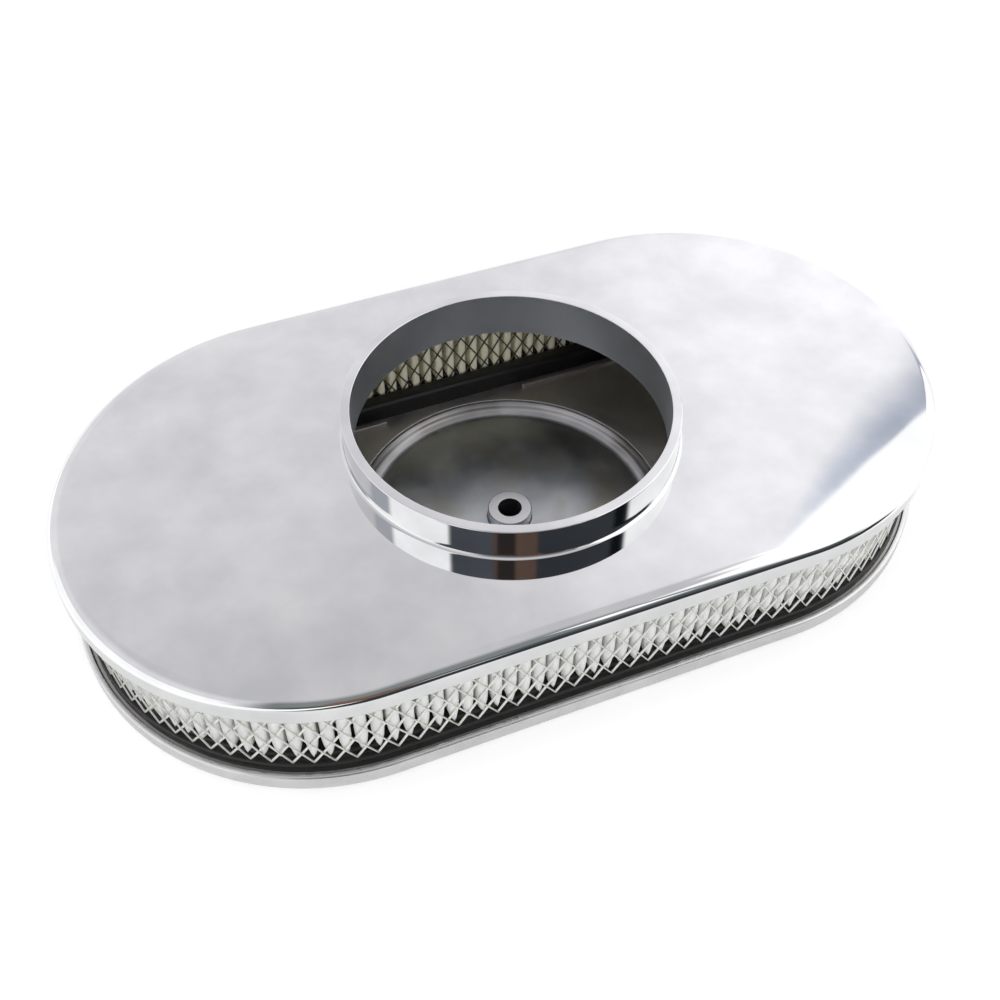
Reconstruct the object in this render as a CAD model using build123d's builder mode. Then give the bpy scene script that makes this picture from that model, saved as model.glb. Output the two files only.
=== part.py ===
from build123d import *
import math
import os

# Oval carburetor air cleaner with an open pleated element, modelled as it lies on a bench: lid down, neck up.
# Millimetres. The origin is the middle of the lid's outer face, +X runs along the oval, +Z up the neck.

# Oval outline shared by both castings: straight sides with full half-round ends
body_length = 379.0
body_width = 207.0
edge_radius = 5.5            # polished outer edge of plate and lid
rim_wall = 2.3               # wall of the skirt and of the lid's lip

# Base casting
plate_thickness = 6.5
skirt_depth = 11.3           # from the plate's polished face down to the skirt's edge
bore_diameter = 131.2        # clears a 130.2 mm air horn
neck_wall = 4.0
neck_height = 14.7
neck_foot_slope = 1.5        # small slope at the neck's foot
neck_rim_break = 0.5

# Lid casting
lid_thickness = 9.8          # from the outer face to the land that carries the element
lip_height = 1.7             # lip above that land
recess_margin = 4.0          # machined recess is this much wider than the bore all round
recess_depth = 5.6
recess_slope = 4.5           # sloped part of the recess wall, down to its floor
boss_diameter = 19.5
boss_height = 6.7            # above the recess floor
boss_break = 0.4
stud_hole_diameter = 10.5
rib_width = 2.0
rib_height = 2.3
rib_gap = 69.2               # length left open in the middle of each long side
rib_end_margin = 1.0         # rib's outer end to the end of the straight side
rib_clearance = 3.0          # rib to the seal's inner edge

# Filter element
element_height = 46.4        # land to plate, seals included
seal_clearance = 1.5         # seal to the rim wall
seal_width = 25.4
seal_thickness = 5.0         # under the screens and the media
seal_bead_height = 4.4       # how much higher the seal stands inside the inner screen
seal_bead_clearance = 0.3    # bead to the inner screen
seal_ledge = 1.0             # seal's outer edge to the outer screen
element_depth = 16.5         # outer screen's outside to inner screen's inside
screen_thickness = 0.8
screen_columns = 44
screen_rows = 2
strand_width = 2.4           # metal left between neighbouring diamonds
pleat_pitch = 5.9
pleat_clearance = 0.3        # fold tips to the screens
paper_thickness = 0.7

# Heights that follow
land_z = lid_thickness
lip_z = land_z + lip_height
recess_z = land_z - recess_depth
boss_z = recess_z + boss_height
element_top_z = land_z + element_height
plate_z = element_top_z + plate_thickness
skirt_z = plate_z - skirt_depth
neck_z = plate_z + neck_height
media_z = land_z + seal_thickness
media_height = element_height - 2 * seal_thickness

# Insets from the oval outline that follow
seal_outer_inset = rim_wall + seal_clearance
seal_inner_inset = seal_outer_inset + seal_width
outer_screen_inset = seal_outer_inset + seal_ledge
inner_screen_inset = outer_screen_inset + element_depth - screen_thickness
bead_inset = inner_screen_inset + screen_thickness + seal_bead_clearance
rib_inset = seal_inner_inset + rib_clearance

# Radii that follow
bore_radius = bore_diameter / 2
neck_radius = bore_radius + neck_wall
recess_radius = bore_radius + recess_margin
boss_radius = boss_diameter / 2
end_radius = body_width / 2
straight_half = body_length / 2 - end_radius


def oval(inset, mode=Mode.ADD):
    """The outline moved inwards by inset, added to the current sketch."""
    return SlotOverall(body_length - 2 * inset, body_width - 2 * inset, mode=mode)


def oval_length(inset):
    """Length of the way round the oval at this inset."""
    return 4 * straight_half + 2 * math.pi * (end_radius - inset)


def oval_place(share, inset):
    """Point at a share (0 to 1) of the way round the oval at this inset, and its outward angle in radians."""
    radius = end_radius - inset
    straight = 2 * straight_half
    arc = math.pi * radius
    distance = share % 1.0 * oval_length(inset)
    if distance < straight:
        return straight_half - distance, radius, math.pi / 2
    distance -= straight
    if distance < arc:
        angle = math.pi / 2 + distance / radius
        return radius * math.cos(angle) - straight_half, radius * math.sin(angle), angle
    distance -= arc
    if distance < straight:
        return distance - straight_half, -radius, -math.pi / 2
    angle = -math.pi / 2 + (distance - straight) / radius
    return radius * math.cos(angle) + straight_half, radius * math.sin(angle), angle


def corners_round(count, inset, even_reach, odd_reach):
    """Corners evenly spaced round the oval at inset, moved outwards by even_reach and odd_reach in turn."""
    corners = []
    for number in range(count):
        x, y, angle = oval_place(number / count, inset)
        reach = odd_reach if number % 2 else even_reach
        corners.append((x + reach * math.cos(angle), y + reach * math.sin(angle)))
    return corners


def rim_edges(casting, inset, height):
    """The edges of an oval rim at one inset and height: two straights and two half rounds."""
    reach = end_radius - inset
    level = casting.edges().filter_by(Plane.XY).filter_by(lambda edge: abs(edge.center().Z - height) < 0.001)
    return level.filter_by(lambda edge: abs(max(abs(v.Y) for v in edge.vertices()) - reach) < 0.001)


def round_rim(casting, height, inward):
    """Rounds the outer rim at a height with three narrow flats that touch the edge radius."""
    flat = edge_radius * (2 - math.sqrt(2))
    flat_break = edge_radius * (math.tan(math.pi / 8) - math.tan(math.pi / 16))
    chamfer(rim_edges(casting, 0, height), length=flat)
    side_corner = rim_edges(casting, 0, height + inward * flat)
    face_corner = rim_edges(casting, flat, height)
    chamfer(side_corner + face_corner, length=flat_break)


def circle_edges(casting, radius, height):
    """The circular edges of one radius at one height."""
    circles = casting.edges().filter_by(GeomType.CIRCLE).filter_by(Plane.XY)
    level = circles.filter_by(lambda edge: abs(edge.center().Z - height) < 0.001)
    return level.filter_by(lambda edge: abs(edge.radius - radius) < 0.001)


# Base casting: skirted oval plate with the carburetor neck and its bore
with BuildPart() as base_casting:
    with BuildSketch(Plane.XY.offset(skirt_z)):
        oval(0)
    extrude(amount=skirt_depth)
    with BuildSketch(Plane.XY.offset(skirt_z)):
        oval(rim_wall)
    extrude(amount=skirt_depth - plate_thickness, mode=Mode.SUBTRACT)
    round_rim(base_casting, plate_z, -1)
    with BuildSketch(Plane.XY.offset(plate_z)):
        Circle(neck_radius)
    extrude(amount=neck_height)
    chamfer(circle_edges(base_casting, neck_radius, plate_z), length=neck_foot_slope)
    with BuildSketch(Plane.XY.offset(element_top_z)):
        Circle(bore_radius)
    extrude(amount=plate_thickness + neck_height, mode=Mode.SUBTRACT)
    chamfer(circle_edges(base_casting, neck_radius, neck_z), length=neck_rim_break)

# Lid casting: shallow oval pan, machined recess, stud boss and the ribs that locate the element
with BuildPart() as lid_casting:
    with BuildSketch():
        oval(0)
    extrude(amount=lip_z)
    with BuildSketch(Plane.XY.offset(land_z)):
        oval(rim_wall)
    extrude(amount=lip_height, mode=Mode.SUBTRACT)
    round_rim(lid_casting, 0, 1)
    with BuildSketch(Plane.XZ):
        with BuildLine():
            Polyline(
                (0, land_z),
                (0, recess_z),
                (recess_radius - recess_slope, recess_z),
                (recess_radius, recess_z + recess_slope),
                (recess_radius, land_z),
                close=True,
            )
        make_face()
    revolve(axis=Axis.Z, mode=Mode.SUBTRACT)
    with BuildSketch(Plane.XY.offset(recess_z)):
        Circle(boss_radius)
    extrude(amount=boss_height)
    chamfer(circle_edges(lid_casting, boss_radius, boss_z), length=boss_break)
    with BuildSketch():
        Circle(stud_hole_diameter / 2)
    extrude(amount=boss_z, mode=Mode.SUBTRACT)
    rib_length = straight_half - rib_end_margin - rib_gap / 2
    with BuildSketch(Plane.XY.offset(land_z)):
        with GridLocations(rib_gap + rib_length, 2 * (end_radius - rib_inset) - rib_width, 2, 2):
            SlotOverall(rib_length, rib_width)
    extrude(amount=rib_height)


def element_seal(face_z, up):
    """Moulded seal ring from its outer face at face_z; up is 1 below the element and -1 above it."""
    with BuildPart() as seal:
        with BuildSketch(Plane.XY.offset(face_z)):
            oval(seal_outer_inset)
            oval(seal_inner_inset, mode=Mode.SUBTRACT)
        extrude(amount=up * seal_thickness)
        with BuildSketch(Plane.XY.offset(face_z)):
            oval(bead_inset)
            oval(seal_inner_inset, mode=Mode.SUBTRACT)
        extrude(amount=up * (seal_thickness + seal_bead_height))
    return seal


def element_screen(inset):
    """Wire screen as a thin oval wall with staggered diamond openings, two flats to a diamond."""
    middle = inset + screen_thickness / 2
    row_step = media_height / (screen_rows + 1)
    diamond_half_height = row_step - strand_width / 2
    diamond_half_width = oval_length(middle) / screen_columns / 2 - strand_width / 2
    places = []
    for row in range(screen_rows):
        for column in range(screen_columns):
            x, y, angle = oval_place((column + row % 2 / 2) / screen_columns, middle)
            origin = (x, y, media_z + (row + 1) * row_step)
            along = (-math.sin(angle), math.cos(angle), 0)
            outward = (math.cos(angle), math.sin(angle), 0)
            places.append(Plane(origin=origin, x_dir=along, z_dir=outward))
    half_wall = screen_thickness / 2
    with BuildPart() as screen:
        with BuildSketch(Plane.XY.offset(media_z)):
            with BuildLine():
                Polyline(*corners_round(2 * screen_columns, middle, half_wall, half_wall), close=True)
            make_face()
            with BuildLine():
                Polyline(*corners_round(2 * screen_columns, middle, -half_wall, -half_wall), close=True)
            make_face(mode=Mode.SUBTRACT)
        extrude(amount=media_height)
        with BuildSketch(*places):
            with BuildLine():
                Polyline(
                    (diamond_half_width, 0),
                    (0, diamond_half_height),
                    (-diamond_half_width, 0),
                    (0, -diamond_half_height),
                    close=True,
                )
            make_face()
        extrude(amount=2 * screen_thickness, both=True, mode=Mode.SUBTRACT)
    return screen


lower_seal = element_seal(land_z, 1)
upper_seal = element_seal(element_top_z, -1)
outer_screen = element_screen(outer_screen_inset)
inner_screen = element_screen(inner_screen_inset)

# Filter media: one band folded in a zigzag all the way round, standing between the two screens
media_inset = outer_screen_inset + element_depth / 2
pleats = round(oval_length(media_inset) / pleat_pitch)
fold_depth = element_depth / 2 - screen_thickness - pleat_clearance
fold_angle = math.atan2(pleat_pitch / 2, 2 * fold_depth)
paper_reach = paper_thickness / math.sin(fold_angle)
paper_outside = corners_round(2 * pleats, media_inset, fold_depth, paper_reach - fold_depth)
paper_inside = corners_round(2 * pleats, media_inset, fold_depth - paper_reach, -fold_depth)
with BuildPart() as filter_media:
    with BuildSketch(Plane.XY.offset(media_z)):
        with BuildLine():
            Polyline(*paper_outside, close=True)
        make_face()
        with BuildLine():
            Polyline(*paper_inside, close=True)
        make_face(mode=Mode.SUBTRACT)
    extrude(amount=media_height)

os.makedirs("parts", exist_ok=True)
base_casting.part.label = "base_casting"
lid_casting.part.label = "lid_casting"
filter_media.part.label = "filter_media"
outer_screen.part.label = "outer_screen"
inner_screen.part.label = "inner_screen"
upper_seal.part.label = "upper_seal"
lower_seal.part.label = "lower_seal"
export_step(base_casting.part, "parts/base_casting.step")
export_step(lid_casting.part, "parts/lid_casting.step")
export_step(filter_media.part, "parts/filter_media.step")
export_step(outer_screen.part, "parts/outer_screen.step")
export_step(inner_screen.part, "parts/inner_screen.step")
export_step(upper_seal.part, "parts/upper_seal.step")
export_step(lower_seal.part, "parts/lower_seal.step")
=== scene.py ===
import math

import bmesh
import bpy
from mathutils import Matrix, Vector


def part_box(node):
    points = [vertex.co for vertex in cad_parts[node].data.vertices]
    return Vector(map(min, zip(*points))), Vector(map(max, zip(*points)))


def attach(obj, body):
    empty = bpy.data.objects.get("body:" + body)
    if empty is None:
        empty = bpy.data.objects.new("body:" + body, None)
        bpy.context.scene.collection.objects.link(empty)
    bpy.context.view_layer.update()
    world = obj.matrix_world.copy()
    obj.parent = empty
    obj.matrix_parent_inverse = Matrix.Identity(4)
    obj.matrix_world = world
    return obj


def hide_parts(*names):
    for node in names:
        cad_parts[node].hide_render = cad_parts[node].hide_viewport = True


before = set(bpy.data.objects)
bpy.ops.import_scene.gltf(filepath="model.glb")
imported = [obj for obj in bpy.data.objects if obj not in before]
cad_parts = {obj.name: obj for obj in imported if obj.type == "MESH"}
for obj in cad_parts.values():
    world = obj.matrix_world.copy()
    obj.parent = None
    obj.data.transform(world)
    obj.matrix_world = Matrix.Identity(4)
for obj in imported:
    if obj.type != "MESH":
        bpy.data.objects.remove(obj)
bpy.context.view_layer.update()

mm = 0.001
touch = 0.01 * mm

# Levels and reach that the pieces share, read from the CAD frame
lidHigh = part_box("lid_casting")[1]
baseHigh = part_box("base_casting")[1]
mediaLow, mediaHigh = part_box("filter_media")
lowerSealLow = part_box("lower_seal")[0]
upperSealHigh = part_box("upper_seal")[1]
outerScreenLow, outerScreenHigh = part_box("outer_screen")
innerScreenLow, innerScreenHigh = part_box("inner_screen")
endRadius = lidHigh.y
straightHalf = lidHigh.x - lidHigh.y
print("frame loaded: oval", round(2 * lidHigh.x / mm, 1), "by", round(2 * endRadius / mm, 1), "mm")

# A circle has as many steps as the oval, so that the two can be bridged
ovalSteps = {"arc": 64, "straight": 24}
circleSteps = 2 * (ovalSteps["arc"] + ovalSteps["straight"])


# Small tools for pieces and their meshes
def clearSelection():
    if bpy.context.object and bpy.context.object.mode != "OBJECT":
        bpy.ops.object.mode_set(mode="OBJECT")
    bpy.ops.object.select_all(action="DESELECT")


def makeActive(piece):
    clearSelection()
    piece.select_set(True)
    bpy.context.view_layer.objects.active = piece


def selectWhere(piece, mode, test):
    # Selects the vertices, edges or faces that pass the test and tells how many did
    bpy.ops.mesh.select_all(action="DESELECT")
    bpy.ops.mesh.select_mode(type=mode)
    mesh = bmesh.from_edit_mesh(piece.data)
    parts = {"VERT": mesh.verts, "EDGE": mesh.edges, "FACE": mesh.faces}[mode]
    chosen = [part for part in parts if test(part)]
    for part in chosen:
        part.select_set(True)
    mesh.select_flush_mode()
    bmesh.update_edit_mesh(piece.data)
    return len(chosen)


def drawProfile(name, corners):
    # One vertex extruded from corner to corner, then each corner with a radius is bevelled round.
    # A corner is (x, y, z, radius, segments) in metres.
    clearSelection()
    bpy.ops.mesh.primitive_plane_add(size=mm, location=(0, 0, 0))
    piece = bpy.context.object
    piece.name = name
    piece.data.name = name
    bpy.ops.object.mode_set(mode="EDIT")
    bpy.ops.mesh.select_mode(type="VERT")
    bpy.ops.mesh.merge(type="CENTER")
    place = Vector(corners[0][:3])
    bpy.ops.transform.translate(value=place)
    for corner in corners[1:]:
        step = Vector(corner[:3]) - place
        bpy.ops.mesh.extrude_region_move(TRANSFORM_OT_translate={"value": step})
        place = Vector(corner[:3])
    for x, y, z, radius, segments in corners:
        if radius <= 0:
            continue
        spot = Vector((x, y, z))
        selectWhere(piece, "VERT", lambda v: (v.co - spot).length < touch)
        mesh = bmesh.from_edit_mesh(piece.data)
        vert = [v for v in mesh.verts if v.select][0]
        arms = [(e.other_vert(vert).co - vert.co).normalized() for e in vert.link_edges]
        angle = arms[0].angle(arms[1])
        bpy.ops.mesh.bevel(offset=radius / math.tan(angle / 2), segments=segments, affect="VERTICES")
    bpy.ops.object.mode_set(mode="OBJECT")
    return piece


def sweepOval(piece):
    # The profile stands on the near straight side at x = +straightHalf and is carried once round the oval
    makeActive(piece)
    bpy.ops.object.mode_set(mode="EDIT")
    bpy.ops.mesh.select_all(action="SELECT")
    for side in (1, -1):
        bpy.ops.mesh.spin(steps=ovalSteps["arc"], angle=-math.pi, center=(side * straightHalf, 0, 0),
                          axis=(0, 0, 1))
        step = -side * 2 * straightHalf / ovalSteps["straight"]
        for number in range(ovalSteps["straight"]):
            bpy.ops.mesh.extrude_region_move(TRANSFORM_OT_translate={"value": (step, 0, 0)})
    bpy.ops.mesh.select_all(action="SELECT")
    bpy.ops.mesh.remove_doubles(threshold=touch)
    bpy.ops.object.mode_set(mode="OBJECT")


def turnRound(piece):
    makeActive(piece)
    bpy.ops.object.mode_set(mode="EDIT")
    bpy.ops.mesh.select_all(action="SELECT")
    bpy.ops.mesh.spin(steps=circleSteps, angle=2 * math.pi, center=(0, 0, 0), axis=(0, 0, 1))
    bpy.ops.mesh.select_all(action="SELECT")
    bpy.ops.mesh.remove_doubles(threshold=touch)
    bpy.ops.object.mode_set(mode="OBJECT")


def joinPieces(pieces):
    clearSelection()
    for piece in pieces:
        piece.select_set(True)
    bpy.context.view_layer.objects.active = pieces[0]
    bpy.ops.object.join()
    return bpy.context.object


def bridgeLevel(piece, level):
    # Two open rims at one height are joined by a flat ring of faces
    makeActive(piece)
    bpy.ops.object.mode_set(mode="EDIT")
    selectWhere(piece, "EDGE", lambda e: len(e.link_faces) == 1 and all(
        abs(v.co.z - level) < touch for v in e.verts))
    bpy.ops.mesh.bridge_edge_loops()
    bpy.ops.object.mode_set(mode="OBJECT")


def closeUp(piece):
    makeActive(piece)
    bpy.ops.object.mode_set(mode="EDIT")
    bpy.ops.mesh.select_all(action="SELECT")
    bpy.ops.mesh.remove_doubles(threshold=0.5 * touch)
    bpy.ops.mesh.normals_make_consistent(inside=False)
    bpy.ops.object.mode_set(mode="OBJECT")


def applyModifier(piece, kind, **settings):
    makeActive(piece)
    modifier = piece.modifiers.new(kind.title(), kind)
    for key, value in settings.items():
        setattr(modifier, key, value)
    bpy.ops.object.modifier_apply(modifier=modifier.name)


def repeatAlong(piece, count, step, **settings):
    applyModifier(piece, "ARRAY", count=count, use_relative_offset=False, use_constant_offset=True,
                  constant_offset_displace=step, **settings)


def smoothOver(piece, degrees=35, weighted=True):
    makeActive(piece)
    bpy.ops.object.shade_smooth_by_angle(angle=math.radians(degrees))
    if weighted:
        applyModifier(piece, "WEIGHTED_NORMAL", keep_sharp=True, weight=50)


def paintFaces(piece, material, faceTest=None):
    # Adds the material as the next slot. The first one covers the piece, the next ones the faces that pass.
    makeActive(piece)
    piece.data.materials.append(material)
    piece.active_material_index = len(piece.data.materials) - 1
    if faceTest is None:
        return
    bpy.ops.object.mode_set(mode="EDIT")
    if selectWhere(piece, "FACE", faceTest):
        bpy.ops.object.material_slot_assign()
    bpy.ops.object.mode_set(mode="OBJECT")


def triangles(piece):
    return sum(len(face.vertices) - 2 for face in piece.data.polygons)


# Materials
def toLinear(hexColour):
    parts = [int(hexColour[i:i + 2], 16) / 255 for i in (1, 3, 5)]
    return tuple(p / 12.92 if p <= 0.04045 else ((p + 0.055) / 1.055) ** 2.4 for p in parts) + (1,)


def newMaterial(name):
    material = bpy.data.materials.new(name)
    material.use_nodes = True
    material.node_tree.nodes.clear()
    return material


def addNode(material, kind, inputs=None, stops=(), **settings):
    # Sockets are given by name or number; stops are (place, hex colour) of a colour ramp
    tree = material.node_tree
    node = tree.nodes.new("ShaderNode" + kind)
    node.location = (260 * (len(tree.nodes) % 8), -220 * (len(tree.nodes) // 8))
    for key, value in settings.items():
        setattr(node, key, value)
    for key, value in (inputs or {}).items():
        if isinstance(value, bpy.types.NodeSocket):
            tree.links.new(value, node.inputs[key])
        else:
            node.inputs[key].default_value = value
    for number, (place, colour) in enumerate(stops):
        stop = node.color_ramp.elements[number] if number < 2 else node.color_ramp.elements.new(place)
        stop.position = place
        stop.color = toLinear(colour)
    return node


def reachOf(material, x, y):
    # Distance of the point (x, y) from the origin
    flat = addNode(material, "CombineXYZ", {"X": x, "Y": y})
    return addNode(material, "VectorMath", {0: flat.outputs[0]}, operation="LENGTH").outputs["Value"]


def radiusAndHeight(material):
    # Distance from the neck's axis and height, for marks that run round it
    split = addNode(material, "SeparateXYZ", {0: addNode(material, "TexCoord").outputs["Object"]})
    radius = reachOf(material, split.outputs["X"], split.outputs["Y"])
    return addNode(material, "CombineXYZ", {"X": radius, "Y": split.outputs["Z"]}).outputs[0]


def pastStraight(material, x):
    # How far x lies beyond the oval's straight part, and 0 along it
    past = addNode(material, "Math", {0: x, 1: straightHalf}, operation="SUBTRACT").outputs[0]
    return addNode(material, "Math", {0: past, 1: 0.0}, operation="MAXIMUM").outputs[0]


def between(material, value, low, high, soft):
    # 1 inside low..high, with soft edges; all in the value's own unit
    up = addNode(material, "MapRange", {"Value": value, "From Min": low - soft, "From Max": low + soft},
                 interpolation_type="SMOOTHSTEP")
    down = addNode(material, "MapRange", {"Value": value, "From Min": high - soft, "From Max": high + soft,
                                          "To Min": 1.0, "To Max": 0.0}, interpolation_type="SMOOTHSTEP")
    return addNode(material, "Math", {0: up.outputs[0], 1: down.outputs[0]}, operation="MULTIPLY").outputs[0]


def toneAndHaze(material, pattern, look, toneSpan=(0.3, 0.7), hazeSpan=(0.3, 0.7)):
    # One pattern moves colour and roughness together, over the span where noise has most of its values
    tone = addNode(material, "ValToRGB", {"Fac": pattern}, stops=tuple(zip(toneSpan, look["tones"])))
    haze = addNode(material, "MapRange", {"Value": pattern, "From Min": hazeSpan[0], "From Max": hazeSpan[1],
                                          "To Min": look["roughness"][0], "To Max": look["roughness"][1]})
    return tone.outputs["Color"], haze.outputs["Result"]


def coverWith(material, inputs):
    # Ends a material with its one shader
    shader = addNode(material, "BsdfPrincipled", inputs)
    addNode(material, "OutputMaterial", {"Surface": shader.outputs[0]})
    return material


def polishedAluminium(name, look):
    # Cast aluminium, buffed on a mop: slow waves left by hand and a haze in clouds, and a mirror where it
    # was buffed longest
    material = newMaterial(name)
    coords = addNode(material, "TexCoord").outputs["Object"]
    clouds = addNode(material, "TexNoise", {"Vector": coords, "Scale": 1 / (look["cloudSize"] * mm),
                                            "Detail": 3.0, "Roughness": 0.55}).outputs["Fac"]
    tone, haze = toneAndHaze(material, clouds, look)
    waves = addNode(material, "TexNoise", {"Vector": coords, "Scale": 1 / (look["waveSize"] * mm),
                                           "Detail": 1.0}).outputs["Fac"]
    wavy = addNode(material, "Bump", {"Height": waves, "Strength": 1.0, "Distance": look["waveHeight"] * mm})
    return coverWith(material, {"Base Color": tone, "Metallic": 1.0, "Roughness": haze,
                                "Normal": wavy.outputs["Normal"]})


def turnedAluminium(look):
    # Aluminium faced on a lathe: satin, with fine rings round the neck's axis
    material = newMaterial("turned aluminium")
    marks = addNode(material, "TexNoise", {"Vector": radiusAndHeight(material),
                                           "Scale": 1 / (look["ringPitch"] * mm), "Detail": 4.0,
                                           "Roughness": 0.7}).outputs["Fac"]
    coords = addNode(material, "TexCoord").outputs["Object"]
    stains = addNode(material, "TexNoise", {"Vector": coords, "Scale": 1 / (look["stainSize"] * mm),
                                            "Detail": 4.0, "Roughness": 0.6}).outputs["Fac"]
    tone, haze = toneAndHaze(material, stains, look, toneSpan=(0.35, 0.65))
    bumps = addNode(material, "Bump", {"Height": marks, "Strength": look["ringStrength"],
                                       "Distance": look["ringHeight"] * mm})
    return coverWith(material, {"Base Color": tone, "Metallic": 1.0, "Roughness": haze,
                                "Normal": bumps.outputs["Normal"]})


def scouredAluminium(look):
    # Cast aluminium scoured on a turning pad: grey with faint rings, mottled, and brown where oil has dried
    material = newMaterial("scoured cast aluminium")
    coords = addNode(material, "TexCoord").outputs["Object"]
    rings = addNode(material, "TexNoise", {"Vector": radiusAndHeight(material),
                                           "Scale": 1 / (look["ringPitch"] * mm),
                                           "Detail": 3.0}).outputs["Fac"]
    mottle = addNode(material, "TexNoise", {"Vector": coords, "Scale": 1 / (look["mottleSize"] * mm),
                                            "Detail": 2.0, "Roughness": 0.45}).outputs["Fac"]
    stains = addNode(material, "TexNoise", {"Vector": coords, "Scale": 1 / (look["stainSize"] * mm),
                                            "Detail": 2.0}).outputs["Fac"]
    tone, haze = toneAndHaze(material, mottle, look)
    oiled = addNode(material, "MapRange", {"Value": stains, "From Min": 0.52, "From Max": 0.72,
                                           "To Max": 0.6}).outputs["Result"]
    shade = addNode(material, "MixRGB", {"Fac": oiled, "Color1": tone,
                                         "Color2": toLinear(look["stainTone"])}).outputs["Color"]
    # Darker in streaks from the round corner outwards, more in some places than in others
    split = addNode(material, "SeparateXYZ", {0: coords})
    reach = reachOf(material, split.outputs["X"], split.outputs["Y"])
    corner = addNode(material, "MapRange", {"Value": reach, "From Min": look["cornerFrom"] * mm,
                                            "From Max": look["cornerTo"] * mm},
                     interpolation_type="SMOOTHSTEP").outputs[0]
    inStreaks = addNode(material, "MapRange", {"Value": rings, "From Min": 0.35, "From Max": 0.65,
                                               "To Min": 0.55, "To Max": 1.0}).outputs[0]
    inPlaces = addNode(material, "MapRange", {"Value": stains, "From Min": 0.35, "From Max": 0.6,
                                              "To Min": 1.0, "To Max": 0.5}).outputs[0]
    for mask in (inStreaks, inPlaces):
        corner = addNode(material, "Math", {0: corner, 1: mask}, operation="MULTIPLY").outputs[0]
    shade = addNode(material, "MixRGB", {"Fac": corner, "Color1": shade,
                                         "Color2": toLinear(look["cornerTone"])}).outputs["Color"]
    bumps = addNode(material, "Bump", {"Height": rings, "Strength": 0.5, "Distance": look["ringHeight"] * mm})
    return coverWith(material, {"Base Color": shade, "Metallic": 1.0, "Roughness": haze,
                                "Normal": bumps.outputs["Normal"]})


def castAluminium(look):
    # The skin left by the mould: dull and faintly grained
    material = newMaterial("as cast aluminium")
    coords = addNode(material, "TexCoord").outputs["Object"]
    grain = addNode(material, "TexNoise", {"Vector": coords, "Scale": 1 / (look["grainSize"] * mm),
                                           "Detail": 5.0, "Roughness": 0.65}).outputs["Fac"]
    flow = addNode(material, "TexNoise", {"Vector": coords, "Scale": 1 / (look["flowSize"] * mm),
                                          "Detail": 4.0, "Roughness": 0.6, "Distortion": 0.8}).outputs["Fac"]
    tone, haze = toneAndHaze(material, flow, look)
    bumps = addNode(material, "Bump", {"Height": grain, "Strength": 0.5,
                                       "Distance": look["grainHeight"] * mm})
    return coverWith(material, {"Base Color": tone, "Metallic": 1.0, "Roughness": haze,
                                "Normal": bumps.outputs["Normal"]})


def mouldedUrethane(look):
    # Black cast urethane: soft sheen with faint flow marks
    material = newMaterial("moulded black urethane")
    coords = addNode(material, "TexCoord").outputs["Object"]
    flow = addNode(material, "TexNoise", {"Vector": coords, "Scale": 1 / (look["flowSize"] * mm),
                                          "Detail": 3.0}).outputs["Fac"]
    tone, haze = toneAndHaze(material, flow, look)
    bumps = addNode(material, "Bump", {"Height": flow, "Strength": 0.4, "Distance": look["flowHeight"] * mm})
    return coverWith(material, {"Base Color": tone, "Roughness": haze, "IOR": 1.5,
                                "Normal": bumps.outputs["Normal"]})


def pleatedCotton(look):
    # Filter sheet in the style of oiled cotton: matt off-white fibre that lets a little light through, and
    # creamy on the inside of the ring
    material = newMaterial("pleated cotton")
    coords = addNode(material, "TexCoord").outputs["Object"]
    fibre = addNode(material, "TexNoise", {"Vector": coords, "Scale": 1 / (look["fibreSize"] * mm),
                                           "Detail": 4.0, "Roughness": 0.7}).outputs["Fac"]
    patches = addNode(material, "TexNoise", {"Vector": coords, "Scale": 1 / (look["patchSize"] * mm),
                                             "Detail": 3.0}).outputs["Fac"]
    tone = addNode(material, "ValToRGB", {"Fac": patches},
                   stops=((0.3, look["tones"][0]), (0.7, look["tones"][1]))).outputs["Color"]
    split = addNode(material, "SeparateXYZ", {0: coords})
    alongX = addNode(material, "Math", {0: split.outputs["X"]}, operation="ABSOLUTE").outputs[0]
    reach = reachOf(material, pastStraight(material, alongX), split.outputs["Y"])
    inside = addNode(material, "MapRange", {"Value": reach, "From Min": endRadius - look["creamTo"] * mm,
                                            "From Max": endRadius - look["creamFrom"] * mm, "To Min": 1.0,
                                            "To Max": 0.0}).outputs[0]
    tone = addNode(material, "MixRGB", {"Fac": inside, "Color1": tone,
                                        "Color2": toLinear(look["cream"])}).outputs["Color"]
    bumps = addNode(material, "Bump", {"Height": fibre, "Strength": 0.6,
                                       "Distance": look["fibreHeight"] * mm})
    return coverWith(material, {"Base Color": tone, "Roughness": 0.92, "Specular IOR Level": 0.2,
                                "Subsurface Weight": look["lightThrough"],
                                "Subsurface Radius": (1.0, 0.95, 0.8),
                                "Subsurface Scale": look["lightDepth"] * mm,
                                "Normal": bumps.outputs["Normal"]})


def screenWire(name, look):
    # Slit and stretched aluminium sheet, a little grained along each strand
    material = newMaterial(name)
    coords = addNode(material, "TexCoord").outputs["Object"]
    grain = addNode(material, "TexNoise", {"Vector": coords, "Scale": 1 / (look["grainSize"] * mm),
                                           "Detail": 3.0}).outputs["Fac"]
    tone, haze = toneAndHaze(material, grain, look)
    return coverWith(material, {"Base Color": tone, "Metallic": look["metal"], "Roughness": haze})


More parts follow.
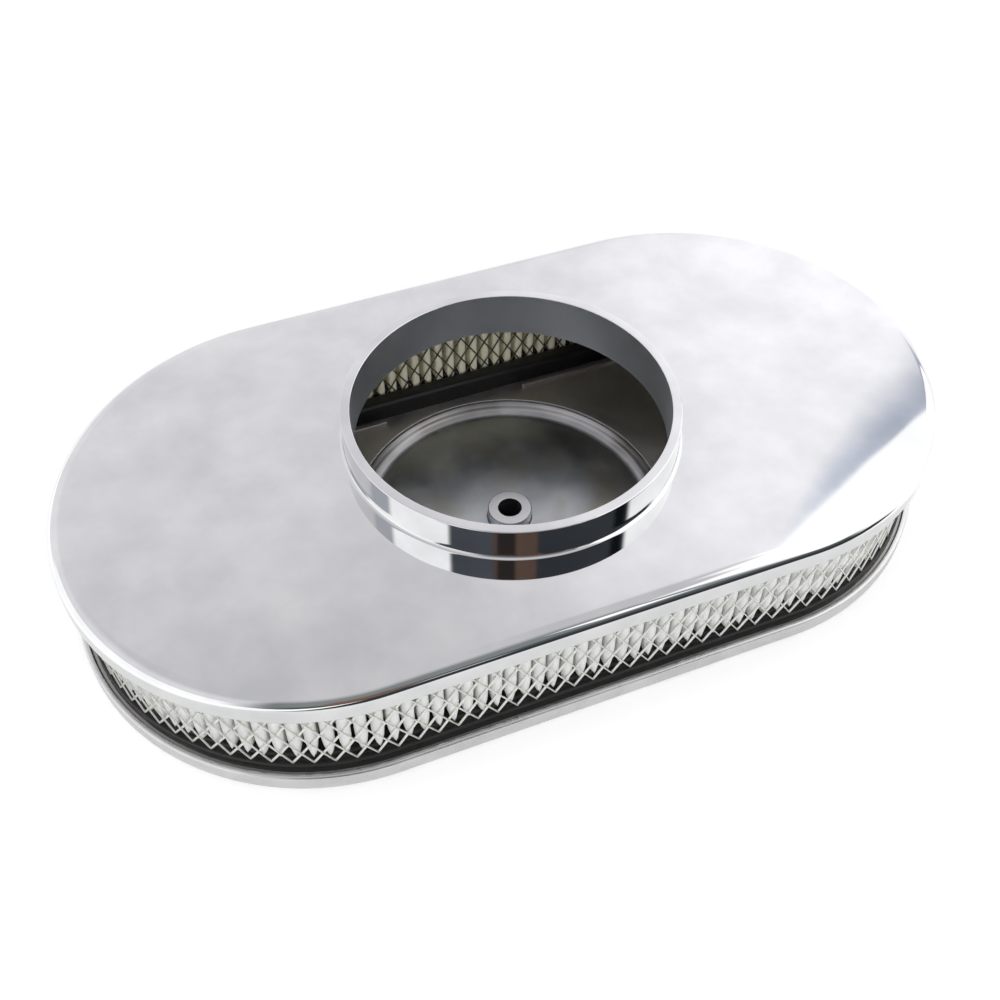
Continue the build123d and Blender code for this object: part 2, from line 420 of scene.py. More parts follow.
polished = polishedAluminium("polished cast aluminium", {
    "cloudSize": 26, "roughness": (0.02, 0.05), "tones": ("#D8D9DA", "#E8E8E8"), "waveSize": 38,
    "waveHeight": 0.05})
satin = polishedAluminium("satin cast aluminium", {
    "cloudSize": 15, "roughness": (0.24, 0.32), "tones": ("#CFCFD0", "#DEDEDF"), "waveSize": 12,
    "waveHeight": 0.02})
turned = turnedAluminium({"ringPitch": 0.6, "ringStrength": 0.2, "ringHeight": 0.02, "stainSize": 40,
                          "tones": ("#CCD0D6", "#DADDE1"), "roughness": (0.4, 0.46)})
scoured = scouredAluminium({"ringPitch": 0.9, "ringHeight": 0.03, "mottleSize": 16, "stainSize": 30,
                            "tones": ("#CBD0D6", "#E4E6E8"), "stainTone": "#A39A80",
                            "roughness": (0.28, 0.36), "cornerFrom": 61, "cornerTo": 67,
                            "cornerTone": "#6E655E"})
cast = castAluminium({"grainSize": 0.9, "grainHeight": 0.05, "flowSize": 40, "tones": ("#D8D4D0", "#E4E1DE"),
                      "roughness": (0.42, 0.6)})
urethane = mouldedUrethane({"flowSize": 9, "flowHeight": 0.12, "tones": ("#131314", "#1C1C1D"),
                            "roughness": (0.32, 0.5)})
cotton = pleatedCotton({"fibreSize": 0.5, "fibreHeight": 0.08, "patchSize": 14,
                        "tones": ("#DEDFDA", "#EFEFEB"), "cream": "#F6EFCF", "creamFrom": 11, "creamTo": 18,
                        "lightThrough": 0.7, "lightDepth": 2.2})
# One wire in two copies: the outer screen's is pale and half metal, the inner screen's is painted dark and
# brownish, painted shade for the inside of the ring
brightWire = screenWire("pale expanded aluminium", {
    "grainSize": 1.5, "tones": ("#D6D6D1", "#EDEDE8"), "roughness": (0.28, 0.42), "metal": 0.5})
shadedWire = screenWire("shaded expanded aluminium", {
    "grainSize": 1.5, "tones": ("#6E6655", "#8F8778"), "roughness": (0.35, 0.5), "metal": 0.9})
print("materials ready")


def nearSide(inset, z, radius=0.0, segments=1):
    # A profile corner at this inset from the outline, in millimetres, on the near straight side
    return (straightHalf, -(endRadius - inset * mm), z * mm, radius * mm, segments)


def onRadius(r, z, radius=0.0, segments=1):
    return (r * mm, 0, z * mm, radius * mm, segments)


def insetOf(point):
    # How far inside the oval outline a point lies
    past = max(abs(point.x) - straightHalf, 0)
    return endRadius - math.hypot(past, point.y)


# Base casting: skirted plate, neck and bore. Sizes are in millimetres, and a round corner is (radius,
# segments). The guard is the flat left beyond a round, the skins are how far the cast finish reaches.
base = {"top": baseHigh.z / mm, "plate": 62.7, "under": 56.2, "skirt": 51.4, "wall": 2.3, "bore": 65.6,
        "neck": 69.6, "guard": 0.5, "edge": (5.5, 14), "edgeBreak": (0.3, 3), "underRound": (1.2, 4),
        "foot": (1.5, 5), "rimBreak": (0.5, 4), "underSkin": 1.3, "edgeSkin": 0.4}


def makeBase():
    b = base
    shell = drawProfile("baseCasting", [
        nearSide(b["edge"][0] + b["guard"], b["plate"]),
        nearSide(0, b["plate"], *b["edge"]),
        nearSide(0, b["skirt"], *b["edgeBreak"]),
        nearSide(b["wall"], b["skirt"], *b["edgeBreak"]),
        nearSide(b["wall"], b["under"], *b["underRound"]),
        nearSide(b["wall"] + b["underRound"][0] + b["guard"], b["under"]),
    ])
    sweepOval(shell)
    neck = drawProfile("neck", [
        onRadius(b["neck"] + b["foot"][0] + b["guard"], b["plate"]),
        onRadius(b["neck"], b["plate"], *b["foot"]),
        onRadius(b["neck"], b["top"], *b["rimBreak"]),
        onRadius(b["bore"], b["top"], *b["edgeBreak"]),
        onRadius(b["bore"], b["under"], *b["edgeBreak"]),
        onRadius(b["bore"] + b["edgeBreak"][0] + b["guard"], b["under"]),
    ])
    turnRound(neck)
    piece = joinPieces([shell, neck])
    bridgeLevel(piece, b["plate"] * mm)
    bridgeLevel(piece, b["under"] * mm)
    closeUp(piece)
    paintFaces(piece, polished)
    bore = b["bore"] * mm + touch
    paintFaces(piece, turned, lambda f: f.calc_center_median().xy.length < bore
               and f.calc_center_median().z > b["under"] * mm + touch)
    paintFaces(piece, cast, lambda f: f.calc_center_median().z < (b["under"] + b["underSkin"]) * mm
               and f.calc_center_median().xy.length > bore
               and insetOf(f.calc_center_median()) > b["edgeSkin"] * mm)
    smoothOver(piece)
    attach(piece, "root")
    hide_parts("base_casting")
    print("base casting:", triangles(piece), "triangles")


makeBase()

# Lid casting: shallow pan, recess and stud boss. The skins are how far a finish reaches beside its face.
lid = {"land": 9.8, "lip": 11.5, "wall": 2.3, "recess": 69.6, "slope": 4.5, "floor": 4.2, "floorFrom": 6,
       "boss": 9.75, "bossClear": 1.2, "bossTop": 10.9, "hole": 5.25, "guard": 0.5, "edge": (5.5, 14),
       "edgeBreak": (0.3, 3), "lipRound": (1.3, 6), "landRound": (0.5, 3), "recessRound": (1.2, 4),
       "cove": (7.0, 9), "bossFoot": (0.6, 4), "bossRound": (0.4, 3), "holeBreak": (0.25, 2),
       "wallSkin": 0.05, "holeSkin": 0.3, "bossSkin": 0.5, "landSkin": 0.4}

# Ribs on the land, which hold the element. The foot stands in the land so that a rib can't float.
rib = {"inside": 69.3, "width": 2.0, "top": 12.1, "start": 34.6, "end": 85.0, "foot": 0.2, "sides": 24,
       "round": (0.35, 3), "rimDepth": 0.1, "rimAngle": 0.5}


def makeLid():
    d = lid
    pan = drawProfile("lidCasting", [
        nearSide(d["edge"][0] + d["guard"], 0),
        nearSide(0, 0, *d["edge"]),
        nearSide(0, d["lip"], *d["lipRound"]),
        nearSide(d["wall"], d["lip"], *d["edgeBreak"]),
        nearSide(d["wall"], d["land"], *d["landRound"]),
        nearSide(d["wall"] + d["landRound"][0] + d["guard"], d["land"]),
    ])
    sweepOval(pan)
    recess = drawProfile("recess", [
        onRadius(d["recess"] + d["edgeBreak"][0] + d["guard"], d["land"]),
        onRadius(d["recess"], d["land"], *d["edgeBreak"]),
        onRadius(d["recess"], d["floor"] + d["slope"], *d["recessRound"]),
        onRadius(d["recess"] - d["slope"], d["floor"], *d["cove"]),
        onRadius(d["recess"] - d["slope"] - d["floorFrom"], d["floor"]),
        onRadius(d["boss"] + d["bossClear"], d["floor"]),
        onRadius(d["boss"], d["floor"], *d["bossFoot"]),
        onRadius(d["boss"], d["bossTop"], *d["bossRound"]),
        onRadius(d["hole"], d["bossTop"], *d["holeBreak"]),
        onRadius(d["hole"], 0, *d["holeBreak"]),
        onRadius(d["hole"] + d["holeBreak"][0] + d["guard"], 0),
    ])
    turnRound(recess)
    piece = joinPieces([pan, recess])
    bridgeLevel(piece, d["land"] * mm)
    bridgeLevel(piece, 0)
    closeUp(piece)
    piece = joinPieces([piece] + [makeRib(x, y) for x in (1, -1) for y in (1, -1)])
    paintFaces(piece, polished)
    wall = (d["wall"] + d["wallSkin"]) * mm
    paintFaces(piece, satin, lambda f: insetOf(f.calc_center_median()) < wall
               and f.calc_center_median().z > 0.5 * d["edge"][0] * mm)
    paintFaces(piece, scoured, lambda f: f.calc_center_median().xy.length < d["recess"] * mm - touch
               and f.calc_center_median().z > d["holeSkin"] * mm)
    paintFaces(piece, satin, lambda f: f.calc_center_median().xy.length < d["boss"] * mm + touch
               and f.calc_center_median().z > (d["bossTop"] - d["bossSkin"]) * mm)
    paintFaces(piece, cast, lambda f: f.calc_center_median().z > (d["land"] - d["landSkin"]) * mm
               and f.calc_center_median().xy.length > d["recess"] * mm - 2 * touch
               and insetOf(f.calc_center_median()) > wall)
    smoothOver(piece)
    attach(piece, "root")
    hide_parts("lid_casting")
    print("lid casting:", triangles(piece), "triangles")


def makeRib(side, front):
    # A low bar with round ends
    half = rib["width"] / 2
    low, high = lid["land"] - rib["foot"], rib["top"]
    start = side * (rib["start"] + half) * mm
    clearSelection()
    bpy.ops.mesh.primitive_cylinder_add(vertices=rib["sides"], radius=half * mm, depth=(high - low) * mm,
                                        location=(start, front * (rib["inside"] + half) * mm,
                                                  (high + low) / 2 * mm))
    bar = bpy.context.object
    bar.name = "rib"
    bpy.ops.object.transform_apply(location=True, rotation=True, scale=True)
    bpy.ops.object.mode_set(mode="EDIT")
    selectWhere(bar, "VERT", lambda v: (v.co.x - start) * side > touch)
    bpy.ops.transform.translate(value=(side * (rib["end"] - rib["start"] - rib["width"]) * mm, 0, 0))
    selectWhere(bar, "EDGE", lambda e: all(v.co.z > (high - rib["rimDepth"]) * mm for v in e.verts)
                and len(e.link_faces) == 2 and abs(e.calc_face_angle(0)) > rib["rimAngle"])
    radius, segments = rib["round"]
    bpy.ops.mesh.bevel(offset=radius * mm, segments=segments, affect="EDGES")
    bpy.ops.object.mode_set(mode="OBJECT")
    return bar


makeLid()

# Seals: a moulded ring at each end of the element, with a bead inside the inner screen
seal = {"outer": 3.8, "inner": 29.2, "thickness": 5.0, "bead": 21.7, "beadHeight": 9.4, "webOuter": 6.6,
        "webInner": 19.6, "webHeight": 8.2, "edgeRound": (0.8, 4), "webFoot": (0.6, 3), "webRound": (0.8, 3),
        "groove": (0.4, 2), "beadRound": (1.4, 5), "innerRound": (2.2, 6), "innerFoot": (0.5, 2)}


def makeSeal(name, node, face, up):
    s = seal
    ring = drawProfile(name, [
        nearSide(s["outer"], face),
        nearSide(s["outer"], face + up * s["thickness"], *s["edgeRound"]),
        nearSide(s["webOuter"], face + up * s["thickness"], *s["webFoot"]),
        nearSide(s["webOuter"], face + up * s["webHeight"], *s["webRound"]),
        nearSide(s["webInner"], face + up * s["webHeight"], *s["webRound"]),
        nearSide(s["webInner"], face + up * s["thickness"], *s["groove"]),
        nearSide(s["bead"], face + up * s["thickness"], *s["groove"]),
        nearSide(s["bead"], face + up * s["beadHeight"], *s["beadRound"]),
        nearSide(s["inner"], face + up * s["beadHeight"], *s["innerRound"]),
        nearSide(s["inner"], face, *s["innerFoot"]),
        nearSide(s["outer"], face),
    ])
    sweepOval(ring)
    closeUp(ring)
    paintFaces(ring, urethane)
    smoothOver(ring)
    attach(ring, "root")
    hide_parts(node)
    print(name, triangles(ring), "triangles")


makeSeal("lowerSeal", "lower_seal", lowerSealLow.z / mm, 1)
makeSeal("upperSeal", "upper_seal", upperSealHigh.z / mm, -1)


def ovalPoint(distance, inset):
    # Point on the oval this far round from the middle of the far side, and its outward angle
    radius = endRadius - inset * mm
    straight, arc = 2 * straightHalf, math.pi * radius
    distance = distance % (2 * straight + 2 * arc)
    if distance < straight / 2:
        return -distance, radius, math.pi / 2
    distance -= straight / 2
    if distance < arc:
        angle = math.pi / 2 + distance / radius
        return radius * math.cos(angle) - straightHalf, radius * math.sin(angle), angle
    distance -= arc
    if distance < straight:
        return distance - straightHalf, -radius, -math.pi / 2
    distance -= straight
    if distance < arc:
        angle = -math.pi / 2 + distance / radius
        return radius * math.cos(angle) + straightHalf, radius * math.sin(angle), angle
    return straightHalf - (distance - arc), radius, math.pi / 2


def ovalLength(inset):
    return 4 * straightHalf + 2 * math.pi * (endRadius - inset * mm)


def wrapRound(piece, inset):
    # A flat strip along x is laid round the oval: x runs along the outline, y stands outwards
    for vert in piece.data.vertices:
        x, y, angle = ovalPoint(vert.co.x, inset)
        vert.co = (x + vert.co.y * math.cos(angle), y + vert.co.y * math.sin(angle), vert.co.z)


# Screens: expanded metal, one crossing of two strands repeated round the oval and up it. The strand that
# rises is wide, thin and twisted, the one that falls is narrow, thick and straight, and they lie one before
# the other.
screen = {"height": 12.7, "across": 0.4, "along": 0.85, "thin": 0.4, "thick": 0.6, "lift": 0.15, "twist": 24}


def makeStrand(run, rise, across, thick, lift, twist):
    clearSelection()
    bpy.ops.mesh.primitive_cube_add(size=1, location=(0, 0, 0))
    strand = bpy.context.object
    strand.scale = (math.hypot(run, rise), thick, across)
    strand.rotation_euler = (math.radians(twist), -math.atan2(rise, run), 0)
    strand.location = (0, lift, 0)
    bpy.ops.object.transform_apply(location=True, rotation=True, scale=True)
    return strand


def makeScreen(name, node, inset, columns, outwards, low, high, material, slim):
    s = screen
    pitch = ovalLength(inset) / columns
    height = s["height"] * mm
    lift = s["lift"] * mm * outwards
    piece = joinPieces([
        makeStrand(pitch, height, s["along"] * slim * mm, s["thin"] * mm, -lift, s["twist"]),
        makeStrand(pitch, -height, s["across"] * mm, s["thick"] * mm, lift, 0)])
    piece.name = name
    repeatAlong(piece, math.ceil((high - low) / height) + 1, (0, 0, height))
    repeatAlong(piece, columns, (pitch, 0, 0))
    for vert in piece.data.vertices:
        vert.co.z += low
    makeActive(piece)
    bpy.ops.object.mode_set(mode="EDIT")
    for level, up in ((low, False), (high, True)):
        bpy.ops.mesh.select_all(action="SELECT")
        bpy.ops.mesh.bisect(plane_co=(0, 0, level), plane_no=(0, 0, 1), clear_inner=not up, clear_outer=up,
                            use_fill=True)
    bpy.ops.object.mode_set(mode="OBJECT")
    wrapRound(piece, inset)
    closeUp(piece)
    paintFaces(piece, material)
    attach(piece, "root")
    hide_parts(node)
    print(name, triangles(piece), "triangles")


makeScreen("outerScreen", "outer_screen", 5.2, 119, 1, outerScreenLow.z, outerScreenHigh.z,
           brightWire, 1.0)
# The inner screen takes the wire darkened with painted shade
makeScreen("innerScreen", "inner_screen", 20.9, 109, -1, innerScreenLow.z, innerScreenHigh.z,
           shadedWire, 0.6)

# Filter media: one soft pleat repeated round the oval. Over the grip's height from the top and the bottom
# the outer folds are squeezed narrow and draw in.
media = {"pleats": 155, "inset": 13.05, "depth": 6.9, "paper": 0.6, "rows": 9, "outerHalf": 0.38,
         "innerHalf": 0.29, "outerRound": (2.1, 5), "innerRound": (1.2, 4), "squeeze": 0.8, "grip": 11.0,
         "gripCurve": 1.3, "drawIn": 0.9, "smooth": 60}


def makeMedia():
    m = media
    pitch = ovalLength(m["inset"]) / m["pleats"]
    depth = m["depth"] * mm
    outer, inner = m["outerHalf"] * pitch, m["innerHalf"] * pitch
    outerRound, outerSteps = m["outerRound"]
    innerRound, innerSteps = m["innerRound"]
    pleat = drawProfile("filterMedia", [
        (-pitch / 2, -depth, 0, 0, 1),
        (-pitch / 2 + inner, -depth, 0, innerRound * mm, innerSteps),
        (-outer, depth, 0, outerRound * mm, outerSteps),
        (outer, depth, 0, outerRound * mm, outerSteps),
        (pitch / 2 - inner, -depth, 0, innerRound * mm, innerSteps),
        (pitch / 2, -depth, 0, 0, 1),
    ])
    makeActive(pleat)
    low, high = mediaLow.z, mediaHigh.z
    step = (high - low) / m["rows"]
    bpy.ops.object.mode_set(mode="EDIT")
    bpy.ops.mesh.select_all(action="SELECT")
    bpy.ops.transform.translate(value=(0, 0, low))
    for number in range(m["rows"]):
        bpy.ops.mesh.extrude_region_move(TRANSFORM_OT_translate={"value": (0, 0, step)})
    bpy.ops.object.mode_set(mode="OBJECT")
    repeatAlong(pleat, m["pleats"], (pitch, 0, 0), use_merge_vertices=True, merge_threshold=touch)
    for vert in pleat.data.vertices:
        middle = round(vert.co.x / pitch) * pitch
        grip = min(vert.co.z - low, high - vert.co.z) / (m["grip"] * mm)
        held = (1 - min(grip, 1)) ** m["gripCurve"]
        if vert.co.y > 0:
            vert.co.x = middle + (vert.co.x - middle) * (1 - m["squeeze"] * held)
            vert.co.y -= m["drawIn"] * mm * held
    wrapRound(pleat, m["inset"])
    closeUp(pleat)
    applyModifier(pleat, "SOLIDIFY", thickness=m["paper"] * mm, offset=0)
    paintFaces(pleat, cotton)
    smoothOver(pleat, m["smooth"], weighted=False)
    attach(pleat, "root")
    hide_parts("filter_media")
    print("filter media", triangles(pleat), "triangles")


makeMedia()

# Floor. Places are in metres and the stud hole's patch of painted shade in millimetres. The card's turn is in
# degrees and its soft edge in radians. The open limit lies below every distance and turn.
stage = {"floorSize": 6.0, "floorColour": "#F2F2F2", "lift": 0.31, "mirrorShare": 0.4, "mirrorEnds": 1.6,
         "whiteBeyond": (-0.24, 0.195), "whiteSoft": 0.02, "cardStart": 0.235, "cardStartSoft": 0.02,
         "cardLeft": -0.22, "cardLeftSoft": 0.04, "cardTurn": 50, "cardTurnSoft": 0.05,
         "cardTone": "#3A3D40", "holeShade": 7.5, "holeSoft": 0.5, "holeShadeTone": "#101010", "open": -1.0}


def makeFloor():
    s = stage
    clearSelection()
    bpy.ops.mesh.primitive_plane_add(size=s["floorSize"], location=(0, 0, -touch))
    floor = bpy.context.object
    floor.name = "floor"
    material = newMaterial("white sweep")
    path = addNode(material, "LightPath")
    coords = addNode(material, "TexCoord").outputs["Object"]
    split = addNode(material, "SeparateXYZ", {0: coords})
    reach = addNode(material, "VectorMath", {0: coords}, operation="LENGTH").outputs["Value"]
    # Painted shade: the patch under the stud hole is painted dark and gets no lift, for the shade inside the
    # closed hole
    under = between(material, reach, s["open"], s["holeShade"] * mm, s["holeSoft"] * mm)
    shade = addNode(material, "MixRGB", {"Fac": under, "Color1": toLinear(s["floorColour"]),
                                         "Color2": toLinear(s["holeShadeTone"])}).outputs["Color"]
    paint = addNode(material, "BsdfDiffuse", {"Color": shade})
    # The floor is lifted to white for the camera, and for the mirror faces mostly beyond both ends
    lift = addNode(material, "MapRange", {"Value": under, "To Min": s["lift"], "To Max": 0.0})
    within = between(material, split.outputs["X"], *s["whiteBeyond"], s["whiteSoft"])
    share = addNode(material, "MapRange", {"Value": within, "To Min": s["mirrorEnds"],
                                           "To Max": s["mirrorShare"]}).outputs[0]
    seen = addNode(material, "Math", {0: path.outputs["Is Glossy Ray"], 1: share,
                                      2: path.outputs["Is Camera Ray"]}, operation="MULTIPLY_ADD").outputs[0]
    level = addNode(material, "Math", {0: lift.outputs["Result"], 1: seen}, operation="MULTIPLY").outputs[0]
    glow = addNode(material, "Emission", {"Strength": level})
    both = addNode(material, "AddShader", {0: paint.outputs[0], 1: glow.outputs[0]})
    # A dark card lies on the floor round the front and the right end, for the mirror faces alone
    past = pastStraight(material, split.outputs["X"])
    front = addNode(material, "Math", {0: split.outputs["Y"], 1: -1.0}, operation="MULTIPLY").outputs[0]
    turn = addNode(material, "Math", {0: past, 1: front}, operation="ARCTAN2").outputs[0]
    away = reachOf(material, past, front)
    card = between(material, turn, s["open"], math.radians(s["cardTurn"]), s["cardTurnSoft"])
    for mask in (between(material, split.outputs["X"], s["cardLeft"], s["floorSize"], s["cardLeftSoft"]),
                 between(material, away, s["cardStart"], s["floorSize"], s["cardStartSoft"]),
                 path.outputs["Is Glossy Ray"]):
        card = addNode(material, "Math", {0: card, 1: mask}, operation="MULTIPLY").outputs[0]
    dark = addNode(material, "Emission", {"Color": toLinear(s["cardTone"])})
    whole = addNode(material, "MixShader", {"Fac": card, 1: both.outputs[0], 2: dark.outputs[0]})
    addNode(material, "OutputMaterial", {"Surface": whole.outputs[0]})
    floor.data.materials.append(material)


makeFloor()

# What the mirror faces show: a white room with a window at the right and a darker part at the front. Angles
# are in degrees: turn is 0 at the front and grows towards +X, rise is 0 at the horizon. A turn or a rise is
# from, to and, where there are three, the soft edge. The window's line is its start and lean, and its arch
# is the top, the middle and the spread. A patch is turn from, to, edge; rise from, to, edge; colour and its
# strength, and patches are laid in order. The collar, which shows the room by way of the plate, has its own.
studio = {"plain": 0.78, "ceiling": "#FAF9FD", "farRise": (38, 47), "farLevel": (0.96, 0.85),
          "nearRise": (48, 57), "nearDrop": 0.12, "rightTurn": (60, 152.5, 12.5), "rightRise": (-90, 60, 6),
          "rightGain": 1.36, "windowLine": (99.0, 0.8), "windowSide": (-0.15, 0.05),
          "windowArch": (68.0, 88.0, 12.6), "archSoft": 1.5, "windowTone": "#FFFFFF", "windowLevel": 1.4,
          "windowTurn": (27, 175, 2), "collarWindowTurn": (52, 175, 2), "bandTone": "#B2B8C6",
          "bandTurn": (110, 175, 5), "bandRise": (20, 48, 2), "bandNarrows": (38, 49),
          "bandWidth": (3.4, 0.5), "bandFade": (0.2, 1.7), "bandLightens": (40, 48),
          "bandLevel": (1.1, 1.6), "thirdBounce": 2.5,
          "behindWindow": [(-130, -50, 4, -5, 17, 2, "#FFFFFF", 1.3),
                           (-42, 30, 7, -30, 52, 14, "#8C9192", 1.0)],
          "beforeWindow": [(-33, 46, 6, -30, 13, 4, "#5C5F61", 1.0),
                           (-16, 7, 3, 4, 22, 4, "#8A6A5C", 0.9),
                           (18.2, 23.4, 0.7, 22, 38, 2.5, "#FFFFFF", 1.4),
                           (8, 12.2, 0.8, 0.2, 3.6, 0.8, "#FFFFFF", 0.9)],
          "collar": [(-133, -113, 3, -5, 66, 4, "#D3D6DD", 0.9),
                     (-113, -64, 3, -5, 66, 4, "#FFFFFF", 1.5),
                     (-64, 67, 3, -30, 64, 6, "#3D4146", 1.0),
                     (-64, -33, 3, -30, 64, 6, "#555A61", 1.0),
                     (54, 64, 3, 30, 60, 4, "#14181C", 1.0),
                     (-33, -3, 2, 6, 60, 3, "#6B564D", 1.0),
                     (-31, -18, 2, 30, 60, 4, "#332F2E", 1.0)]}


def turnAndRise(world):
    # Where a ray goes, in degrees
    place = addNode(world, "TexCoord").outputs["Generated"]
    x, y, z = addNode(world, "SeparateXYZ", {0: place}).outputs
    back = addNode(world, "Math", {0: y, 1: -1.0}, operation="MULTIPLY").outputs[0]
    turn = addNode(world, "Math", {0: x, 1: back}, operation="ARCTAN2").outputs[0]
    rise = addNode(world, "Math", {0: z}, operation="ARCSINE").outputs[0]
    return [addNode(world, "Math", {0: angle}, operation="DEGREES").outputs[0] for angle in (turn, rise)]


def layOver(world, under, turnMask, riseMask, hexColour, strength):
    # Lays a patch of light over what is there
    mask = addNode(world, "Math", {0: turnMask, 1: riseMask}, operation="MULTIPLY").outputs[0]
    paint = addNode(world, "VectorMath", {0: toLinear(hexColour)[:3], "Scale": strength},
                    operation="SCALE").outputs[0]
    return addNode(world, "MixRGB", {"Fac": mask, "Color1": under, "Color2": paint}).outputs[0]


def layPatches(world, under, turn, rise, patches):
    for left, right, edge, low, high, soft, tone, strength in patches:
        under = layOver(world, under, between(world, turn, left, right, edge),
                        between(world, rise, low, high, soft), tone, strength)
    return under


def makeCeiling(world, turn, rise):
    # Brighter to the right, a little darker overhead
    s = studio
    far = addNode(world, "MapRange", {"Value": rise, "From Min": s["farRise"][0], "From Max": s["farRise"][1],
                                      "To Min": s["farLevel"][0], "To Max": s["farLevel"][1]}).outputs[0]
    drop = addNode(world, "MapRange", {"Value": rise, "From Min": s["nearRise"][0],
                                       "From Max": s["nearRise"][1], "To Max": s["nearDrop"]},
                   interpolation_type="SMOOTHSTEP").outputs[0]
    sideways = addNode(world, "Math", {0: between(world, turn, *s["rightTurn"]),
                                       1: between(world, rise, *s["rightRise"])},
                       operation="MULTIPLY").outputs[0]
    gain = addNode(world, "MapRange", {"Value": sideways, "To Min": 1.0, "To Max": s["rightGain"]}).outputs[0]
    level = addNode(world, "Math", {0: far, 1: drop}, operation="SUBTRACT").outputs[0]
    level = addNode(world, "Math", {0: level, 1: gain}, operation="MULTIPLY").outputs[0]
    return addNode(world, "VectorMath", {0: toLinear(s["ceiling"])[:3], "Scale": level},
                   operation="SCALE").outputs[0]


def layBand(world, room, turn, rise, past):
    # Beside the window's leaning side runs a grey band that narrows and lightens upwards
    s = studio
    width = addNode(world, "MapRange", {"Value": rise, "From Min": s["bandNarrows"][0],
                                        "From Max": s["bandNarrows"][1], "To Min": s["bandWidth"][0],
                                        "To Max": s["bandWidth"][1]}).outputs[0]
    share = addNode(world, "Math", {0: past, 1: width}, operation="DIVIDE").outputs[0]
    fade = addNode(world, "MapRange", {"Value": share, "From Min": s["bandFade"][0],
                                       "From Max": s["bandFade"][1], "To Min": 1.0, "To Max": 0.0},
                   interpolation_type="SMOOTHSTEP").outputs[0]
    level = addNode(world, "MapRange", {"Value": rise, "From Min": s["bandLightens"][0],
                                        "From Max": s["bandLightens"][1], "To Min": s["bandLevel"][0],
                                        "To Max": s["bandLevel"][1]}).outputs[0]
    mask = addNode(world, "Math", {0: fade, 1: between(world, turn, *s["bandTurn"])},
                   operation="MULTIPLY").outputs[0]
    return layOver(world, room, mask, between(world, rise, *s["bandRise"]), s["bandTone"], level)


def windowShape(world, turn, rise, past):
    # An arch over the right side, cut off by the leaning line
    top, middle, spread = studio["windowArch"]
    soft = studio["archSoft"]
    away = addNode(world, "Math", {0: turn, 1: middle}, operation="SUBTRACT").outputs[0]
    away = addNode(world, "Math", {0: away, 1: spread}, operation="DIVIDE").outputs[0]
    away = addNode(world, "Math", {0: away, 1: away}, operation="MULTIPLY").outputs[0]
    below = addNode(world, "Math", {0: top, 1: away}, operation="SUBTRACT").outputs[0]
    below = addNode(world, "Math", {0: below, 1: rise}, operation="SUBTRACT").outputs[0]
    arch = addNode(world, "MapRange", {"Value": below, "From Min": -soft, "From Max": soft},
                   interpolation_type="SMOOTHSTEP").outputs[0]
    side = addNode(world, "MapRange", {"Value": past, "From Min": studio["windowSide"][0],
                                       "From Max": studio["windowSide"][1], "To Min": 1.0, "To Max": 0.0},
                   interpolation_type="SMOOTHSTEP").outputs[0]
    return addNode(world, "Math", {0: arch, 1: side}, operation="MULTIPLY").outputs[0]


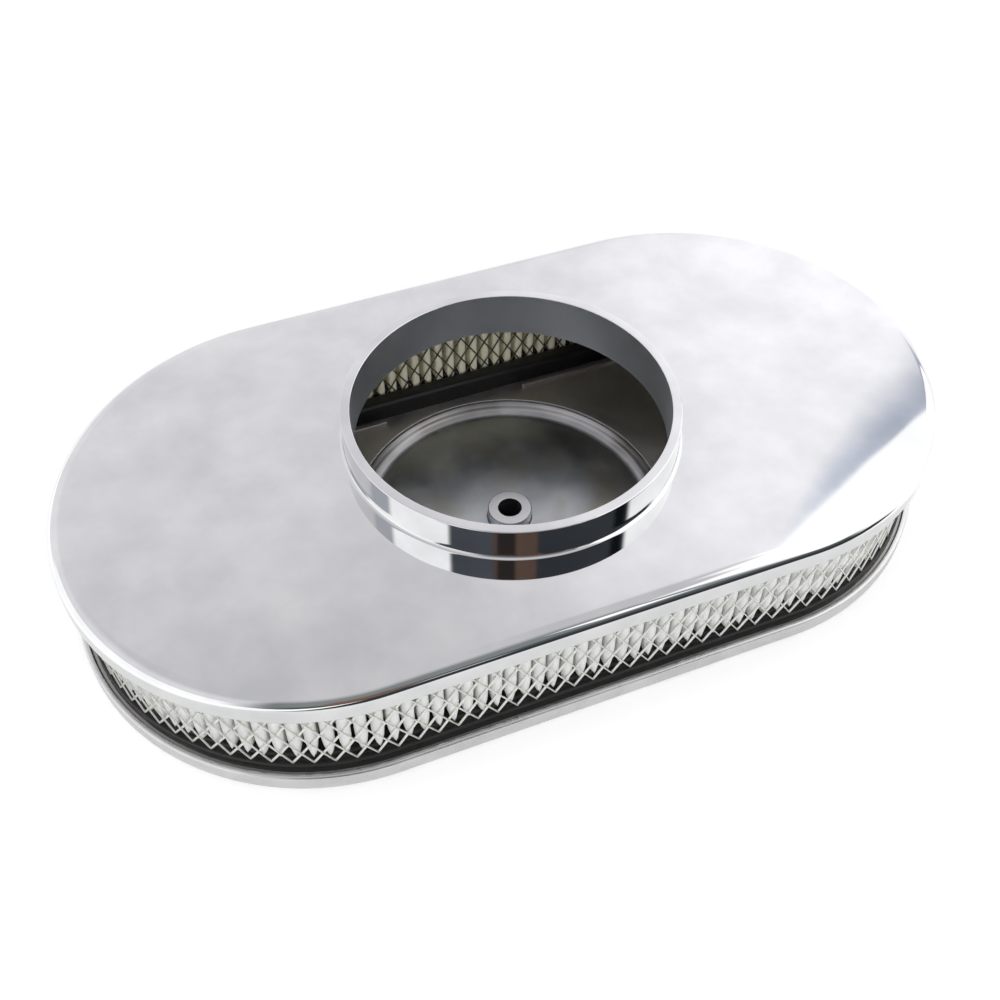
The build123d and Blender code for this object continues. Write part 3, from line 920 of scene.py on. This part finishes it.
def makeWorld():
    s = studio
    world = bpy.data.worlds.new("studio")
    bpy.context.scene.world = world
    world.use_nodes = True
    world.node_tree.nodes.clear()
    turn, rise = turnAndRise(world)
    start, lean = s["windowLine"]
    leaning = addNode(world, "Math", {0: rise, 1: -lean, 2: turn}, operation="MULTIPLY_ADD").outputs[0]
    past = addNode(world, "Math", {0: leaning, 1: start}, operation="SUBTRACT").outputs[0]
    room = layBand(world, makeCeiling(world, turn, rise), turn, rise, past)
    window = windowShape(world, turn, rise, past)
    direct = layPatches(world, room, turn, rise, s["behindWindow"])
    direct = layOver(world, direct, window, between(world, turn, *s["windowTurn"]), s["windowTone"],
                     s["windowLevel"])
    direct = layPatches(world, direct, turn, rise, s["beforeWindow"])
    collar = layOver(world, room, window, between(world, turn, *s["collarWindowTurn"]), s["windowTone"],
                     s["windowLevel"])
    collar = layPatches(world, collar, turn, rise, s["collar"])
    path = addNode(world, "LightPath")
    # The sky counts itself as a bounce, so the room by way of the plate is the third
    twice = addNode(world, "Math", {0: path.outputs["Ray Depth"], 1: s["thirdBounce"]},
                    operation="GREATER_THAN").outputs[0]
    mirrored = addNode(world, "MixRGB", {"Fac": twice, "Color1": direct, "Color2": collar}).outputs[0]
    plain = (s["plain"],) * 3 + (1,)
    seen = addNode(world, "MixRGB", {"Fac": path.outputs["Is Glossy Ray"], "Color1": plain,
                                     "Color2": mirrored}).outputs[0]
    shown = addNode(world, "MixRGB", {"Fac": path.outputs["Is Camera Ray"], "Color1": seen,
                                      "Color2": (1, 1, 1, 1)}).outputs[0]
    sky = addNode(world, "Background", {"Color": shown})
    addNode(world, "OutputWorld", {"Surface": sky.outputs[0]})


makeWorld()

# The camera's place and aim, as solved from the plate's outline and the bore
view = {"place": (-0.137859, -0.333264, 0.431073), "right": (0.929677, -0.368367, 0.002401),
        "down": (-0.276686, -0.702567, -0.655625), "forward": (0.243197, 0.608855, -0.755083),
        "lens": 44.575, "sensor": 36.0, "clipStart": 0.01}


def makeCamera():
    clearSelection()
    bpy.ops.object.camera_add(location=view["place"])
    camera = bpy.context.object
    camera.name = "photo view"
    right, up, back = Vector(view["right"]), -Vector(view["down"]), -Vector(view["forward"])
    aim = Matrix((right, up, back)).transposed().to_4x4()
    camera.matrix_world = Matrix.Translation(view["place"]) @ aim
    camera.data.lens = view["lens"]
    camera.data.sensor_width = view["sensor"]
    camera.data.sensor_fit = "HORIZONTAL"
    camera.data.clip_start = view["clipStart"]
    bpy.context.scene.camera = camera


makeCamera()
bpy.context.scene.view_settings.view_transform = "Standard"

# Two soft lamps: the key from the left, and a low one in front that reaches the pleats through the neck
lamps = {"key": {"place": (-0.45, -0.85, 1.25), "size": 0.5, "power": 1.6},
         "low": {"place": (0.0, -1.25, 0.85), "size": 0.5, "power": 5.0}}
lampTarget = Vector((0, 0, 0.03))


def makeLamp(name, look):
    clearSelection()
    bpy.ops.object.light_add(type="AREA", location=look["place"])
    lamp = bpy.context.object
    lamp.name = name
    lamp.data.shape = "SQUARE"
    lamp.data.size = look["size"]
    lamp.data.energy = look["power"]
    lamp.rotation_euler = (lampTarget - Vector(look["place"])).to_track_quat("-Z", "Y").to_euler()
    lamp.visible_glossy = False


for name, look in lamps.items():
    makeLamp(name, look)

print("scene ready")
